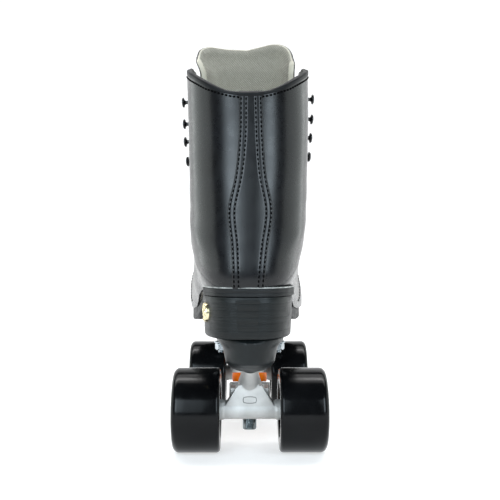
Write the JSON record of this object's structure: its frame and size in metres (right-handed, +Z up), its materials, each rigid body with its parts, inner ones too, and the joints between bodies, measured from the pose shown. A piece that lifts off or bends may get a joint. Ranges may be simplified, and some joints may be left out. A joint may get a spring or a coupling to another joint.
{
  "type": "quad roller skate",
  "caption": "High-top leather quad roller skate for the left foot, with a stacked heel, nylon plate, cushioned steering trucks, ball-bearing wheels and a screw-in toe stop.",
  "frame": {"origin": "on the ground under the middle of the skate's bounding box", "axes": "+Z up, +Y towards the toe, +X towards the wearer's right, which is the inner side of this left skate"},
  "size_m": [0.107, 0.299, 0.2971],
  "materials": {
    "boot_leather": "glossy black polished leather",
    "tongue_leather": "black leather over a padded woven lining",
    "sole_rubber": "matt black rubber",
    "heel_stack": "black lacquered stacked heel",
    "insole_fabric": "grey woven lining",
    "stud_brass": "polished pressed brass",
    "hook_metal": "black enamelled lace hook",
    "plate_nylon": "slate-black moulded nylon",
    "cast_alloy": "satin cast aluminium",
    "steel": "zinc-plated steel",
    "bearing_steel": "ground bearing steel",
    "cushion_urethane": "orange urethane",
    "wheel_urethane": "glossy black cast urethane",
    "hub_nylon": "black moulded hub"
  },
  "bodies": {
    "boot": {"outsole": "sole_rubber", "heel_block": "heel_stack", "heel_stud": "stud_brass", "insole": "insole_fabric", "vamp": "boot_leather", "quarter_lateral": "boot_leather", "quarter_medial": "boot_leather", "backstay": "boot_leather", "tongue": "tongue_leather", "hook_lateral_1": "hook_metal", "hook_lateral_2": "hook_metal", "hook_lateral_3": "hook_metal", "hook_lateral_4": "hook_metal", "hook_medial_1": "hook_metal", "hook_medial_2": "hook_metal", "hook_medial_3": "hook_metal", "hook_medial_4": "hook_metal", "plate": "plate_nylon", "mount_bolt_rear_left": "steel", "mount_bolt_rear_right": "steel", "mount_bolt_front_left": "steel", "mount_bolt_front_right": "steel", "kingpin_rear": "steel", "kingpin_nut_rear": "steel", "cushion_upper_rear": "cushion_urethane", "cushion_lower_rear": "cushion_urethane", "pivot_cup_rear": "sole_rubber", "kingpin_front": "steel", "kingpin_nut_front": "steel", "cushion_upper_front": "cushion_urethane", "cushion_lower_front": "cushion_urethane", "pivot_cup_front": "sole_rubber", "toe_stop_nut": "steel"},
    "truck_rear": {"hanger_rear": "cast_alloy", "axle_rear": "steel", "axle_nut_rear_left": "steel", "axle_nut_rear_right": "steel"},
    "truck_front": {"hanger_front": "cast_alloy", "axle_front": "steel", "axle_nut_front_left": "steel", "axle_nut_front_right": "steel"},
    "wheel_rear_left": {"tyre_rear_left": "wheel_urethane", "hub_rear_left": "hub_nylon", "bearing_inner_rear_left": "bearing_steel", "bearing_outer_rear_left": "bearing_steel"},
    "wheel_rear_right": {"tyre_rear_right": "wheel_urethane", "hub_rear_right": "hub_nylon", "bearing_inner_rear_right": "bearing_steel", "bearing_outer_rear_right": "bearing_steel"},
    "wheel_front_left": {"tyre_front_left": "wheel_urethane", "hub_front_left": "hub_nylon", "bearing_inner_front_left": "bearing_steel", "bearing_outer_front_left": "bearing_steel"},
    "wheel_front_right": {"tyre_front_right": "wheel_urethane", "hub_front_right": "hub_nylon", "bearing_inner_front_right": "bearing_steel", "bearing_outer_front_right": "bearing_steel"},
    "toe_stop": {"toe_stop_pad": "sole_rubber", "toe_stop_stem": "steel"}
  },
  "joints": [
    {"name": "truck_rear_steer", "type": "hinge", "parent": "boot", "child": "truck_rear", "pos_m": [0, -0.0705, 0.0385], "axis": [0, 0.8688, -0.4952], "range_deg": [-8, 8], "stiffness_Nm_per_rad": 25, "deforming": ["cushion_upper_rear", "cushion_lower_rear"]},
    {"name": "truck_front_steer", "type": "hinge", "parent": "boot", "child": "truck_front", "pos_m": [0, 0.0495, 0.0385], "axis": [0, -0.8688, -0.4952], "range_deg": [-8, 8], "stiffness_Nm_per_rad": 25, "deforming": ["cushion_upper_front", "cushion_lower_front"]},
    {"name": "wheel_rear_left_spin", "type": "hinge", "parent": "truck_rear", "child": "wheel_rear_left", "pos_m": [-0.036, -0.0905, 0.0285], "axis": [1, 0, 0], "continuous": true},
    {"name": "wheel_rear_right_spin", "type": "hinge", "parent": "truck_rear", "child": "wheel_rear_right", "pos_m": [0.036, -0.0905, 0.0285], "axis": [1, 0, 0], "continuous": true},
    {"name": "wheel_front_left_spin", "type": "hinge", "parent": "truck_front", "child": "wheel_front_left", "pos_m": [-0.036, 0.0695, 0.0285], "axis": [1, 0, 0], "continuous": true},
    {"name": "wheel_front_right_spin", "type": "hinge", "parent": "truck_front", "child": "wheel_front_right", "pos_m": [0.036, 0.0695, 0.0285], "axis": [1, 0, 0], "continuous": true},
    {"name": "toe_stop_screw", "type": "slide", "parent": "boot", "child": "toe_stop", "axis": [0, 0.2924, -0.9563], "range_m": [0, 0.008]}
  ]
}
